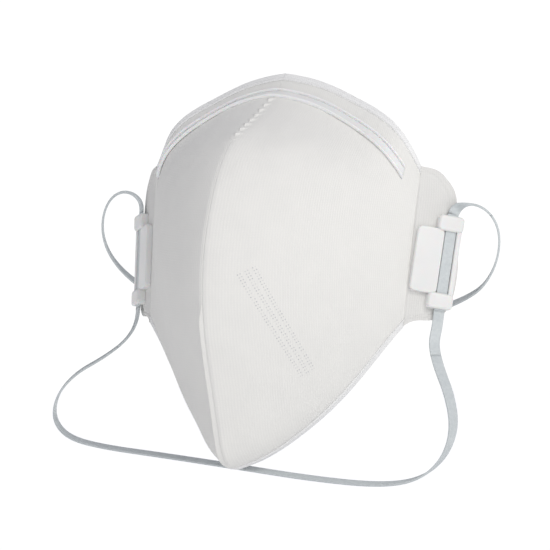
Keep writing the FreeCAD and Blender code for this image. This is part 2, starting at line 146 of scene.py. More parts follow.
bandSet = {
    "width": 4.2, "thickness": 0.9, "round": 0.28, "lead": 0.018, "sides": 16, "step": 0.0012, "lapSteps": 4,
    "middleBetween": (0.3, 0.7), "lineSteps": 24,
}
headRoute = [
    (-0.0696, 0.0051, 0.0252), (-0.0734, 0.0054, 0.0290), (-0.0796, 0.0062, 0.0302),
    (-0.0859, 0.0075, 0.0272), (-0.0902, 0.0090, 0.0204), (-0.0914, 0.0110, 0.0122),
    (-0.0894, 0.0140, 0.0040), (-0.0844, 0.0195, -0.0040), (-0.0755, 0.0265, -0.0115),
    (-0.0595, 0.0330, -0.0180), (-0.0380, 0.0375, -0.0220), (-0.0130, 0.0388, -0.0232),
    (0.0130, 0.0368, -0.0210), (0.0360, 0.0310, -0.0178), (0.0535, 0.0245, -0.0144),
    (0.0665, 0.0195, -0.0104), (0.0756, 0.0160, -0.0060), (0.0822, 0.0130, 0.0012),
    (0.0856, 0.0108, 0.0092), (0.0860, 0.0090, 0.0166), (0.0831, 0.0075, 0.0224),
    (0.0782, 0.0063, 0.0254), (0.0731, 0.0055, 0.0256), (0.0697, 0.0050, 0.0240),
]
neckRoute = [
    (-0.0665, -0.0033, -0.0202), (-0.0694, -0.0070, -0.0278), (-0.0770, -0.0120, -0.0346),
    (-0.0866, -0.0170, -0.0406), (-0.0926, -0.0210, -0.0488), (-0.0922, -0.0244, -0.0582),
    (-0.0840, -0.0270, -0.0652), (-0.0677, -0.0290, -0.0684), (-0.0390, -0.0310, -0.0710),
    (-0.0060, -0.0324, -0.0744), (0.0270, -0.0320, -0.0782), (0.0557, -0.0306, -0.0802),
    (0.0717, -0.0280, -0.0780), (0.0810, -0.0250, -0.0700), (0.0834, -0.0210, -0.0584),
    (0.0786, -0.0160, -0.0466), (0.0710, -0.0108, -0.0362), (0.0662, -0.0064, -0.0276),
    (0.0664, -0.0033, -0.0204),
]


def routeLine(points):
    # points of the smooth line that a route's points control
    curve = bpy.data.curves.new("route", "CURVE")
    curve.dimensions = "3D"
    curve.resolution_u = bandSet["lineSteps"]
    spline = curve.splines.new("NURBS")
    spline.points.add(len(points) - 1)
    for handle, place in zip(spline.points, points):
        handle.co = (*place, 1)
    spline.order_u = 3
    spline.use_endpoint_u = True
    holder = bpy.data.objects.new("route", curve)
    mesh = bpy.data.meshes.new_from_object(holder)
    line = [v.co.copy() for v in mesh.vertices]
    bpy.data.objects.remove(holder)
    bpy.data.curves.remove(curve)
    bpy.data.meshes.remove(mesh)
    return line


def evenLine(line, step):
    # the same line with points a step apart
    lengths = [0.0]
    for a, b in zip(line, line[1:]):
        lengths.append(lengths[-1] + (b - a).length)
    count = max(2, round(lengths[-1] / step))
    made, k = [], 0
    for i in range(count + 1):
        want = lengths[-1] * i / count
        while k < len(line) - 2 and lengths[k + 1] < want:
            k += 1
        share = (want - lengths[k]) / max(1e-12, lengths[k + 1] - lengths[k])
        made.append(line[k].lerp(line[k + 1], share))
    return made


def lineLength(line):
    return sum((b - a).length for a, b in zip(line, line[1:]))


def finishMesh(bm, name, material, flat=False):
    mesh = bpy.data.meshes.new(name)
    bm.to_mesh(mesh)
    bm.free()
    for face in mesh.polygons:
        face.use_smooth = not flat
    mesh.materials.append(material)
    piece = bpy.data.objects.new(name, mesh)
    scene.collection.objects.link(piece)
    return piece


def bandPiece(name, line, widths, material, lift=0.0):
    # a flat band with rounded edges: widths gives the way across the band at each point
    count, sides = len(line) - 1, bandSet["sides"]
    half = Vector((bandSet["width"] / 2, bandSet["thickness"] / 2))
    power = bandSet["round"]
    profile = []
    for k in range(sides):
        angle = 2 * math.pi * (k + 0.5) / sides
        c, s = math.cos(angle), math.sin(angle)
        x, y = math.copysign(abs(c) ** power, c), math.copysign(abs(s) ** power, s)
        profile.append((half.x * x, half.y * y))
    bm = bmesh.new()
    bmesh.ops.create_grid(bm, x_segments=count, y_segments=sides, size=0.5)
    place = bm.verts.layers.float_vector.new("bandPlace")
    for vert in bm.verts:
        i, k = round((vert.co.x + 0.5) * count), round((vert.co.y + 0.5) * sides) % sides
        tangent = (line[min(count, i + 1)] - line[max(0, i - 1)]).normalized()
        side = (widths[i] - tangent * widths[i].dot(tangent)).normalized()
        face = tangent.cross(side)
        x, y = profile[k]
        vert[place] = (i * bandSet["step"], x * mm, y * mm)
        vert.co = line[i] + (side * x + face * (y + lift)) * mm
    bmesh.ops.remove_doubles(bm, verts=bm.verts[:], dist=joinWithin)
    bmesh.ops.holes_fill(bm, edges=[e for e in bm.edges if e.is_boundary], sides=0)
    bmesh.ops.recalc_face_normals(bm, faces=bm.faces[:])
    return finishMesh(bm, name, material)


def widthsAlong(line, stops):
    # stops are (share of the line, way across the band), joined smoothly
    made = []
    for i in range(len(line)):
        share = i / (len(line) - 1)
        k = max(j for j in range(len(stops) - 1) if j == 0 or stops[j][0] <= share)
        (a, start), (b, end) = stops[k], stops[k + 1]
        made.append(start.lerp(end, smooth((share - a) / (b - a))))
    return made


def newMaterial(name, colour, roughness, sheen=0.0):
    material = bpy.data.materials.new(name)
    material.use_nodes = True
    shader = material.node_tree.nodes["Principled BSDF"]
    shader.inputs["Base Color"].default_value = (*colour, 1)
    shader.inputs["Roughness"].default_value = roughness
    shader.inputs["Sheen Weight"].default_value = sheen
    return material, material.node_tree, shader


def node(tree, kind, inputs=(), **settings):
    made = tree.nodes.new(kind)
    for key, value in settings.items():
        setattr(made, key, value)
    for key, value in dict(inputs).items():
        if isinstance(value, bpy.types.NodeSocket):
            tree.links.new(value, made.inputs[key])
        else:
            made.inputs[key].default_value = value
    return made


def maths(tree, operation, a, b=0.0, c=0.0):
    return node(tree, "ShaderNodeMath", {0: a, 1: b, 2: c}, operation=operation).outputs[0]


def addBump(tree, shader, height, strength, distance):
    bump = node(tree, "ShaderNodeBump", {"Height": height, "Strength": strength, "Distance": distance})
    tree.links.new(bump.outputs["Normal"], shader.inputs["Normal"])


def noiseAt(tree, place, scale, detail=3.0):
    grain = {"Vector": place, "Scale": scale, "Detail": detail}
    return node(tree, "ShaderNodeTexNoise", grain).outputs["Fac"]


def mixColour(tree, share, a, b):
    # from colour a to colour b, where a may be a socket
    colours = [c if isinstance(c, bpy.types.NodeSocket) else (*c, 1) for c in (a, b)]
    made = node(tree, "ShaderNodeMix", data_type="RGBA")
    ends = {0: share, 6: colours[0], 7: colours[1]}  # the colour mix's own sockets
    for key, value in ends.items():
        if isinstance(value, bpy.types.NodeSocket):
            tree.links.new(value, made.inputs[key])
        else:
            made.inputs[key].default_value = value
    return made.outputs[2]


def levels(tree, value, low, high, bottom=0.0, top=1.0, shape="LINEAR"):
    # value mapped so that low gives bottom and high gives top
    sockets = {"Value": value, "From Min": low, "From Max": high, "To Min": bottom, "To Max": top}
    return node(tree, "ShaderNodeMapRange", sockets, interpolation_type=shape).outputs["Result"]


def axes(tree, vector):
    return node(tree, "ShaderNodeSeparateXYZ", {"Vector": vector}).outputs


def placeOf(tree, name):
    return node(tree, "ShaderNodeAttribute", attribute_name=name).outputs["Vector"]


elasticLook = {
    "colour": (0.66, 0.70, 0.705), "dark": (0.59, 0.63, 0.64), "roughness": 0.42, "ribPitch": 0.00052,
    "grain": 900.0, "grainRange": (0.3, 0.7), "bump": 0.35, "depth": 0.00006,
}


def elasticMaterial():
    look = elasticLook
    material, tree, shader = newMaterial("elasticBand", look["colour"], look["roughness"])
    place = placeOf(tree, "bandPlace")
    wide = axes(tree, place)[1]
    rib = maths(tree, "SINE", maths(tree, "MULTIPLY", wide, 2 * math.pi / look["ribPitch"]))
    grain = levels(tree, noiseAt(tree, place, look["grain"]), *look["grainRange"])
    tree.links.new(mixColour(tree, grain, look["colour"], look["dark"]), shader.inputs["Base Color"])
    addBump(tree, shader, maths(tree, "MULTIPLY_ADD", rib, 0.5, 0.5), look["bump"], look["depth"])
    return material


elastic = elasticMaterial()


def addSplice(line, widths, middle):
    # the lap that joins the band's two ends, behind the band
    half = bandSet["lapSteps"]
    span = slice(middle - half, middle + half + 1)
    lap = bandPiece("bandSplice", line[span], widths[span], elastic, lift=-bandSet["thickness"])
    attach(lap, "centre")
    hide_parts("band_splice")
    return lap


def addBand(name, route, exitRight, stops, cadNode, spliced=False):
    exitLeft = mirrored(exitRight)
    line = evenLine(routeLine([exitLeft, *(Vector(p) for p in route), exitRight]), bandSet["step"])
    widths = widthsAlong(line, stops)
    lead = round(bandSet["lead"] / bandSet["step"])
    early, late = (round(share * len(line)) for share in bandSet["middleBetween"])
    middle = min(range(early, late), key=lambda i: abs(line[i].x))
    last = len(line) - 1
    laps = [addSplice(line, widths, middle)] if spliced else []
    for side, start, leadEnd, step in (("left", 0, lead, 1), ("right", last, last - lead, -1)):
        leadSpan, mainSpan = slice(start, leadEnd + step, step), slice(leadEnd, middle + step, step)
        leadLine, mainLine = line[leadSpan], line[mainSpan]
        leadBand = bandPiece(f"{name}Lead_{side}", leadLine, widths[leadSpan], elastic)
        mainBand = bandPiece(f"{name}_{side}", mainLine, widths[mainSpan], elastic)
        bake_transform(leadBand)
        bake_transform(mainBand)
        for piece in (leadBand, mainBand):
            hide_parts(cadNode)


wideRight, wideLeft = buckleWide, mirrored(buckleWide)
edgeOn = Vector((-0.5, 0.866, 0))  # across the band where a loop shows its thin edge


def headBand():
    stops = [
        (0.0, wideLeft), (0.07, edgeOn), (0.30, Vector((-0.3, 0.8, 0.5))), (0.42, Vector((0, 0.25, 1))),
        (0.60, Vector((0, 0.25, 1))), (0.74, Vector((-0.2, 0.85, 0.45))), (0.945, edgeOn), (1.0, wideRight),
    ]
    addBand("headBand", headRoute, upperExit, stops, "head_strap", spliced=True)


def neckBand():
    stops = [
        (0.0, wideLeft), (0.10, Vector((-0.4, 0.9, 0.2))), (0.5, Vector((-0.2, 0.9, 0.3))),
        (0.80, Vector((0.1, 0.9, 0.3))), (0.93, Vector((0.65, 0.75, 0))), (1.0, wideRight),
    ]
    addBand("neckBand", neckRoute, lowerExit, stops, "neck_strap")


headBand()
neckBand()


def bandInBuckle():
    for side, flip in (("right", lambda p: p), ("left", mirrored)):
        line = evenLine([flip(lowerExit), flip(upperExit)], bandSet["step"])
        piece = bandPiece(f"bandInBuckle_{side}", line, [flip(buckleWide)] * len(line), elastic)
        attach(piece, f"{side}_tab")
        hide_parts(f"band_in_buckle_{side}")


bandInBuckle()
print("bands made")

# cloth surfaces

panelSet = {
    "ridge": [
        (-42.0, -76.0), (-50.5, -72.5), (-55.5, -62.0), (-60.0, -45.0), (-65.0, -26.0), (-67.0, -8.0),
        (-65.5, 9.0), (-60.5, 26.0), (-53.5, 40.0), (-44.5, 50.0), (-30.0, 58.0), (-16.0, 65.5),
        (-8.0, 71.0), (-4.5, 76.0),
    ],
    "topEdge": [
        (15.5, -4.0, 72.9), (32.0, -4.0, 66.2), (46.0, -4.5, 58.6), (51.4, -4.2, 53.5), (56.0, -2.8, 46.0),
    ],
    "lowerEdge": [
        (8.0, -36.5, -72.5), (20.0, -28.0, -63.5), (30.0, -22.5, -54.0), (39.0, -18.0, -43.5),
        (48.5, -14.5, -31.0),
    ],
    "bulge": 5.5, "bowScale": 6.75,  # the bow scale makes the most of u * (1 - u) ** 2 one
    "nudge": 0.004, "leastFlat": 0.25, "ridgeTurn": 0.12,
    "runSteps": 48, "widthSteps": 16,
}


def splineThrough(points):
    # a natural cubic curve by share of its chord length
    n = len(points) - 1
    at = [0.0]
    for a, b in zip(points, points[1:]):
        at.append(at[-1] + (b - a).length)
    step = [at[i + 1] - at[i] for i in range(n)]
    bend = [Vector((0, 0, 0)) for _ in points]
    upper, right = [0.0] * (n + 1), [Vector((0, 0, 0)) for _ in points]
    for i in range(1, n):
        low, high = step[i - 1], step[i]
        rise = (points[i + 1] - points[i]) / high - (points[i] - points[i - 1]) / low
        pivot = 2 * (low + high) - low * upper[i - 1]
        upper[i] = high / pivot
        right[i] = (rise * 6 - right[i - 1] * low) / pivot
    for i in range(n - 1, 0, -1):
        bend[i] = right[i] - bend[i + 1] * upper[i]

    def point(share):
        where = share * at[-1]
        i = max(k for k in range(n) if k == 0 or at[k] <= where)
        s, h = where - at[i], step[i]
        r = h - s
        return (
            bend[i] * (r ** 3 / (6 * h)) + bend[i + 1] * (s ** 3 / (6 * h))
            + (points[i] / h - bend[i] * (h / 6)) * r + (points[i + 1] / h - bend[i + 1] * (h / 6)) * s
        )

    return point


ridgePoints = [Vector((0, y, z)) for y, z in panelSet["ridge"]]
rootTop, rootLow = onTab(*tabSet["rootTop"]), onTab(*tabSet["rootLow"])
ridge = splineThrough(ridgePoints)
topEdge = splineThrough([ridgePoints[-1], *(Vector(p) for p in panelSet["topEdge"]), rootTop])
lowerEdge = splineThrough([ridgePoints[0], *(Vector(p) for p in panelSet["lowerEdge"]), rootLow])


def panel(u, v):
    # the right half's outer surface: u from the ridge to the tab's root, v from the lower edge up
    side = rootLow.lerp(rootTop, v)
    corners = ridgePoints[0].lerp(rootLow, u) * (1 - v) + ridgePoints[-1].lerp(rootTop, u) * v
    arch = math.sin(math.pi * min(1.0, max(0.0, v)))
    bow = panelSet["bulge"] * panelSet["bowScale"] * u * (1 - u) ** 2 * arch
    return ridge(v) * (1 - u) + side * u + lowerEdge(u) * (1 - v) + topEdge(u) * v - corners + outFlat * bow


def outward(u, v):
    # the way out of the panel. At the ridge it stays in the middle plane, so that inner layers meet there.
    d = panelSet["nudge"]
    u0, u1, v0, v1 = max(0, u - d), min(1, u + d), max(0, v - d), min(1, v + d)
    normal = (panel(u1, v) - panel(u0, v)).cross(panel(u, v1) - panel(u, v0)).normalized()
    if normal.dot(outFlat) < 0:
        normal = -normal
    flat = Vector((0, normal.y, normal.z)) / max(panelSet["leastFlat"], 1 - normal.x ** 2)
    return flat.lerp(normal, smooth(u / panelSet["ridgeTurn"]))


runSteps = panelSet["runSteps"]
runCache = {}


def runUp(u):
    # lengths along the panel from its lower edge to even steps of v
    key = round(u, 6)
    if key not in runCache:
        points = [panel(u, k / runSteps) for k in range(runSteps + 1)]
        lengths = [0.0]
        for a, b in zip(points, points[1:]):
            lengths.append(lengths[-1] + (b - a).length)
        runCache[key] = lengths
    return runCache[key]


def shareAt(u, distance):
    # v at a distance along the panel from its lower edge
    lengths = runUp(u)
    k = max(i for i in range(runSteps) if i == 0 or lengths[i] <= distance)
    return (k + (distance - lengths[k]) / (lengths[k + 1] - lengths[k])) / runSteps


def fromLower(distance):
    return lambda u: shareAt(u, distance)


def fromTop(distance):
    return lambda u: shareAt(u, runUp(u)[-1] - distance)


widthLine = [panel(k / panelSet["widthSteps"], 0.5) for k in range(panelSet["widthSteps"] + 1)]
panelWidth = lineLength(widthLine)
ridgeSet = {"reach": 1.8, "noseReach": 6.0, "noseFrom": 0.7, "noseTo": 0.86, "nudge": 0.02}
rippleSet = {"wave": 0.5, "ends": 0.1, "rims": 12.0, "scale": 0.035, "shift": (3, 7, 1), "octaves": 3}
slopeCache = {}


def ridgeSlope(v):
    # how fast the half falls away from the ridge
    key = round(v, 3)
    if key not in slopeCache:
        away = (panel(ridgeSet["nudge"], v) - panel(0, v)) / (ridgeSet["nudge"] * panelWidth)
        slopeCache[key] = max(0.0, -away.dot(outward(0, v)))
    return slopeCache[key]


def setBack(u, v):
    # the ridge is softly rounded, and more so over the nose
    nose = smooth((v - ridgeSet["noseFrom"]) / (ridgeSet["noseTo"] - ridgeSet["noseFrom"]))
    reach = ridgeSet["reach"] + (ridgeSet["noseReach"] - ridgeSet["reach"]) * nose
    if u * panelWidth >= reach:
        return 0.0
    return ridgeSlope(v) * reach / 2 * (1 - u * panelWidth / reach) ** 2


def doubleGrid(columns, rows):
    # two flat grids, to be joined round their edges. Gives the mesh, the layers for a vertex's place on the
    # grid, from 0 to 1, and on the cloth, and the back grid's vertices.
    bm = bmesh.new()
    bmesh.ops.create_grid(bm, x_segments=columns, y_segments=rows, size=0.5)
    grid = bm.verts.layers.float_vector.new("grid")
    place = bm.verts.layers.float_vector.new("clothPlace")
    for vert in bm.verts:
        vert[grid] = (*(min(1.0, max(0.0, c + 0.5)) for c in vert.co.xy), 0)
    made = bmesh.ops.extrude_face_region(bm, geom=bm.faces[:], use_keep_orig=True)
    back = {g for g in made["geom"] if isinstance(g, bmesh.types.BMVert)}
    return bm, grid, place, back


def closeGrid(bm):
    bmesh.ops.recalc_face_normals(bm, faces=bm.faces[:])
    bm.verts.layers.float_vector.remove(bm.verts.layers.float_vector["grid"])


def ripple(point, u, low, top):
    # how far the cloth stands out of its even shape, fading towards its edges
    sizes = rippleSet
    fade = smooth(u / sizes["ends"]) * smooth((1 - u) / sizes["ends"]) * smooth(min(low, top) / sizes["rims"])
    place = point * sizes["scale"] + Vector(sizes["shift"])
    return sizes["wave"] * fade * noise.fractal(place, 1.0, 2.0, sizes["octaves"])


def clothShell(uRange, low, high, outer, inner, columns, rows, crowd=1.0, rippled=False, across=False):
    # a closed piece of laminate for the right half, or across the middle. outer and inner are its depths, as
    # functions of the distances to its lower and top edges and of the share of the way along.
    bm, grid, place, back = doubleGrid(columns, rows)
    for vert in bm.verts:
        s, t, _ = vert[grid]
        if across:
            s = 2 * s - 1
        u = uRange[0] + (uRange[1] - uRange[0]) * min(1.0, abs(s)) ** crowd
        v0, v1 = low(u), high(u)
        v = v0 + (v1 - v0) * t
        length = runUp(u)[-1]
        run = (v1 - v0) * length
        edges = (run * t, run * (1 - t))
        depth = (inner if vert in back else outer)(*edges, abs(s)) + setBack(u, v)
        point = panel(u, v)
        if rippled:
            depth -= ripple(point, u, *edges)
        vert[place] = (math.copysign(u * panelWidth, s) * mm, (v - 0.5) * length * mm, 0)
        vert.co = (point - outward(u, v) * depth) * mm
        vert.co.x = math.copysign(max(vert.co.x, 0.0), s)
    closeGrid(bm)
    return bm


def bothSides(name, bm, materials, cadNode, body, keep=None):
    # the piece and its mirror image, each riding on its own side
    flipped = bm.copy()
    bmesh.ops.scale(flipped, vec=(-1, 1, 1), verts=flipped.verts[:])
    bmesh.ops.reverse_faces(flipped, faces=flipped.faces[:])
    made = {}
    for side, shape, material in (("right", bm, materials[0]), ("left", flipped, materials[-1])):
        piece = finishMesh(shape, f"{name}_{side}", material)
        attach(piece, f"{side}_{body}")
        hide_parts(f"{cadNode}_{side}")
        if keep:
            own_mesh(piece)
        made[side] = piece
    return made


clothLook = {
    "colour": (0.865, 0.858, 0.825), "shade": (0.805, 0.80, 0.775), "roughness": 0.92, "sheen": 0.06,
    "pitch": 0.00098, "crossShare": 0.5, "wobble": 0.0006, "wobbleScale": 120.0,
    "fibre": 2600.0, "fibreShare": 0.5, "patches": 95.0, "patchRange": (0.35, 0.7),
    "tint": 0.4, "weaveTint": -0.6, "patchTint": 0.3, "bump": 0.4, "depth": 0.00012,
}
printLook = {
    "ink": (0.47, 0.47, 0.49), "start": (0.0105, -0.0105, 0), "slant": 62.0, "length": 0.046, "rows": 3,
    "rowPitch": 0.0028, "linesInRow": 3, "printedShare": 0.67, "dotPitch": 0.0012, "dot": 0.27,
    "dotEdge": 0.1, "gapScale": 700.0, "gapRange": (0.3, 0.6), "strength": 0.7,
}


def addPrint(tree, place, colour):
    # rows of even dots where such a mask is stamped
    look = printLook
    shift = {0: place, 1: -Vector(look["start"])}
    shifted = node(tree, "ShaderNodeVectorMath", shift, operation="ADD").outputs[0]
    slant = {"Vector": shifted, "Angle": math.radians(look["slant"])}
    turned = node(tree, "ShaderNodeVectorRotate", slant, rotation_type="Z_AXIS").outputs[0]
    along, side, _ = axes(tree, turned)
    squares = []
    for way, pitch in ((along, look["dotPitch"]), (side, look["rowPitch"] / look["linesInRow"])):
        part = maths(tree, "FRACT", maths(tree, "DIVIDE", way, pitch))
        off = maths(tree, "MULTIPLY", maths(tree, "SUBTRACT", part, 0.5), pitch / look["dotPitch"])
        squares.append(maths(tree, "MULTIPLY", off, off))
    far = maths(tree, "SQRT", maths(tree, "ADD", *squares))
    row = maths(tree, "FRACT", maths(tree, "DIVIDE", side, look["rowPitch"]))
    masks = [
        maths(tree, "GREATER_THAN", along, 0.0), maths(tree, "LESS_THAN", along, look["length"]),
        maths(tree, "GREATER_THAN", side, 0.0),
        maths(tree, "LESS_THAN", side, look["rows"] * look["rowPitch"]),
        maths(tree, "LESS_THAN", row, look["printedShare"]),
        levels(tree, noiseAt(tree, place, look["gapScale"], 2.0), *look["gapRange"]), look["strength"],
    ]
    dot = levels(tree, far, look["dot"], look["dot"] - look["dotEdge"])
    for mask in masks:
        dot = maths(tree, "MULTIPLY", dot, mask)
    return mixColour(tree, dot, colour, look["ink"])


def clothMaterial(name, look, printed=False):
    material, tree, shader = newMaterial(name, look["colour"], look["roughness"], look["sheen"])
    place = placeOf(tree, "clothPlace")
    x, y, _ = axes(tree, place)
    wobble = maths(tree, "MULTIPLY", noiseAt(tree, place, look["wobbleScale"]), look["wobble"])
    lines = []
    for way in (x, y):
        phase = maths(tree, "MULTIPLY", maths(tree, "ADD", way, wobble), 2 * math.pi / look["pitch"])
        lines.append(maths(tree, "MULTIPLY_ADD", maths(tree, "SINE", phase), 0.5, 0.5))
    crossing = maths(tree, "MULTIPLY_ADD", lines[1], look["crossShare"], 1 - look["crossShare"])
    weave = maths(tree, "MULTIPLY", lines[0], crossing)
    fibre = noiseAt(tree, place, look["fibre"], 4.0)
    patches = levels(tree, noiseAt(tree, place, look["patches"], 5.0), *look["patchRange"])
    tint = maths(tree, "MULTIPLY_ADD", patches, look["patchTint"], look["tint"])
    tint = maths(tree, "MULTIPLY_ADD", weave, look["weaveTint"], tint)
    tint = maths(tree, "MINIMUM", maths(tree, "MAXIMUM", tint, 0.0), 1.0)
    colour = mixColour(tree, tint, look["colour"], look["shade"])
    if printed:
        colour = addPrint(tree, place, colour)
    tree.links.new(colour, shader.inputs["Base Color"])
    height = maths(tree, "MULTIPLY_ADD", fibre, look["fibreShare"], weave)
    addBump(tree, shader, height, look["bump"], look["depth"])
    return material


liningLook = {**clothLook, "colour": (0.87, 0.87, 0.86), "pitch": 0.0016, "bump": 0.3}
tabLook = {**clothLook, "colour": (0.79, 0.783, 0.757), "shade": (0.73, 0.725, 0.705)}
webLook = {**clothLook, "colour": (0.88, 0.88, 0.88), "pitch": 0.0007, "bump": 0.25}
coverCloth = clothMaterial("coverCloth", clothLook)
printedCloth = clothMaterial("printedCoverCloth", clothLook, printed=True)
innerCloth = clothMaterial("liningCloth", liningLook)
tabCloth = clothMaterial("tabCloth", tabLook)
webCloth = clothMaterial("filterWeb", webLook)

laminateSet = {
    "rim": 3.0, "gap": 0.3, "rimDepth": 0.3, "rimThickness": 0.9, "press": 1.1, "keep": 0.04, "cover": 0.45,
    "squeeze": 8.0, "leastThickness": 0.1, "coverGrid": (76, 130, 1.35), "layerGrid": (40, 70, 1.2),
    "blank": (0.105, 0.152), "blankArea": 0.0100,  # metres, the flat piece that each sheet is cut to
    # depth and thickness in the middle, depth at the weld, and the share of the width where it starts
    "layers": {
        "filterLayer": ("filter_media", "filter_web", webCloth, 0.6, 0.5, 0.8, 0.004),
        "supportLayer": ("support_layer", "support_shell", webCloth, 1.25, 0.7, 0.92, 0.004),
        "lining": ("inner_lining", "lining_fabric", innerCloth, 2.1, 0.4, 1.05, 0.0),
    },
    "layerEnd": 0.988,
}
wholeWidth = (0.0, 1.0)


def coverShape():
    # the cover's front and back: it dips to the welded rim at its free edges
    sizes = laminateSet

    def front(low, top, s):
        return sizes["rimDepth"] * (1 - smooth(min(low, top) / sizes["press"]))

    def back(low, top, s):
        return front(low, top, s) + sizes["cover"]

    return front, back


def layerShape(depth, thickness, edge):
    # an inner layer's front and back: it is squeezed thin towards the weld
    squeeze, least = laminateSet["squeeze"], laminateSet["leastThickness"]

    def front(low, top, s):
        return edge + (depth - edge) * smooth(min(low, top) / squeeze)

    def back(low, top, s):
        return front(low, top, s) + least + (thickness - least) * smooth(min(low, top) / squeeze)

    return front, back


def addLaminate():
    sizes = laminateSet
    edges = fromLower(sizes["rim"]), fromTop(sizes["rim"])
    cover = clothShell(wholeWidth, *edges, *coverShape(), *sizes["coverGrid"], rippled=True)
    cloths = (printedCloth, coverCloth)
    bothSides("cover", cover, cloths, "outer_cover", "half", sizes["keep"])
    inset = sizes["rim"] + sizes["gap"]
    for name, (cadNode, slot, material, depth, thickness, edge, start) in sizes["layers"].items():
        edges = fromLower(inset), fromTop(inset)
        shape = layerShape(depth, thickness, edge)
        shell = clothShell((start, sizes["layerEnd"]), *edges, *shape, *sizes["layerGrid"], rippled=True)
        bothSides(name, shell, (material,), cadNode, "half", sizes["keep"])


addLaminate()
print("laminate made")

rimLook = {
    "colour": (0.91, 0.91, 0.90), "shade": (0.83, 0.83, 0.825), "roughness": 0.5, "dotPitch": 0.00095,
    "random": 0.2, "dotRange": (0.15, 0.45), "fibre": 2200.0, "fibreTint": 0.5, "tintRange": (0.3, 1.2),
    "fibreBump": 0.3, "bump": 0.5, "depth": 0.0001,
}


def rimMaterial():
    look = rimLook
    material, tree, shader = newMaterial("weldedCloth", look["colour"], look["roughness"])
    place = placeOf(tree, "clothPlace")
    pattern = {"Vector": place, "Scale": 1 / look["dotPitch"], "Randomness": look["random"]}
    dots = node(tree, "ShaderNodeTexVoronoi", pattern).outputs["Distance"]
    dot = levels(tree, dots, *look["dotRange"])
    fibre = noiseAt(tree, place, look["fibre"])
    soft = levels(tree, maths(tree, "MULTIPLY_ADD", fibre, look["fibreTint"], dot), *look["tintRange"])
    tree.links.new(mixColour(tree, soft, look["shade"], look["colour"]), shader.inputs["Base Color"])
    height = maths(tree, "MULTIPLY_ADD", fibre, look["fibreBump"], dot)
    addBump(tree, shader, height, look["bump"], look["depth"])
    return material


rimCloth = rimMaterial()
rimSet = {
    "bead": 0.32, "beadIn": 0.7, "beadWidth": 0.42, "faceFall": 0.12, "faceReach": 0.5, "backFall": 0.35,
    "backReach": 0.8, "grid": (90, 16, 1.2),
}


def rimShape(lower):
    # the weld's front and back: a bead stands up along its inner side, and the cut edge is thin
    sizes, depth = rimSet, laminateSet["rimDepth"]

    def front(low, top, s):
        edge, inward = (low, top) if lower else (top, low)
        bead = sizes["bead"] * math.exp(-((inward - sizes["beadIn"]) / sizes["beadWidth"]) ** 2)
        return depth - bead + sizes["faceFall"] * (1 - smooth(edge / sizes["faceReach"]))

    def back(low, top, s):
        fall = sizes["backFall"] * (1 - smooth((low if lower else top) / sizes["backReach"]))
        return depth + laminateSet["rimThickness"] - fall

    return front, back


def addRim():
    rim = laminateSet["rim"]
    for name, cadNode, lower, low, high in (
        ("rimTop", "rim_weld_top", False, fromTop(rim), fromTop(0)),
        ("rimLower", "rim_weld_lower", True, fromLower(0), fromLower(rim)),
    ):
        shell = clothShell(wholeWidth, low, high, *rimShape(lower), *rimSet["grid"])
        bothSides(name, shell, (rimCloth,), cadNode, "half", laminateSet["keep"])


addRim()
print("welded rim made")

# side tabs

tabShape = {
    "thickness": 1.0, "grid": (30, 96), "bead": 0.3, "beadIn": 0.7, "beadWidth": 0.45, "rootReach": 0.12,
    "backFall": 0.3, "backReach": 0.8, "proud": 0.02, "patternFrom": 8.0,
    "outline": [
        (40.0, 40.0), (43.4, 39.4), (46.8, 38.2), (50.2, 34.9), (52.9, 30.8), (53.8, 26.5), (53.8, 15.0),
        (53.7, 3.0), (52.9, -3.5), (51.4, -9.5), (48.6, -14.9), (45.0, -17.9), (41.0, -18.5), (36.0, -18.6),
        (31.5, -20.5),
    ],
}


def addTabs():
    sizes, rim = tabShape, laminateSet["rim"]
    outline = splineThrough([onTab(*p) for p in reversed(sizes["outline"])])
    bm, grid, place, back = doubleGrid(*sizes["grid"])
    for vert in bm.verts:
        s, t, _ = vert[grid]
        root, side = rootLow.lerp(rootTop, t), outline(t)
        point = root.lerp(side, s)
        toRim = (side - point).length
        weld = 1 - smooth((toRim - rim) / laminateSet["press"])
        bead = sizes["bead"] * math.exp(-((toRim - rim + sizes["beadIn"]) / sizes["beadWidth"]) ** 2)
        depth = (laminateSet["rimDepth"] * weld - bead) * smooth(s / sizes["rootReach"])
        if vert in back:
            depth = sizes["thickness"] - sizes["backFall"] * (1 - smooth(toRim / sizes["backReach"]))
        reach = panelWidth + (point - root).length
        vert[place] = (reach * mm, (point.z - sizes["patternFrom"]) * mm, 0)
        vert.co = (point - out * max(depth, -sizes["proud"])) * mm
    bmesh.ops.remove_doubles(bm, verts=bm.verts[:], dist=joinWithin)
    closeGrid(bm)
    bothSides("sideTab", bm, (tabCloth,), "side_tab", "tab")


addTabs()
print("side tabs made")

# nose strip and foam

stripSet = {
    "web": 2.8, "webThickness": 0.14, "wireGap": 0.12, "wireWidth": 1.0, "wireHeight": 1.0, "lift": 0.3,
    "setBack": (10.6, 12.2), "end": 0.865, "capFrom": 0.988, "foot": 0.2, "under": 0.02,
    "grid": 110, "crowd": 1.2,
}


def stripLine(shift):
    # a line along the nose strip, shift up or down from its middle
    def at(u):
        near, far = stripSet["setBack"]
        back = near + (far - near) * u / stripSet["end"]
        return shareAt(u, runUp(u)[-1] - back + shift)

    return at


plasticLook = {
    "subsurface": 0.12, "subsurfaceScale": 0.0006, "fine": 1400.0, "broad": 60.0, "broadRange": (0.3, 0.7),
    "darker": 0.95, "smoother": 0.06, "rougher": 0.08, "depth": 0.00003,
}


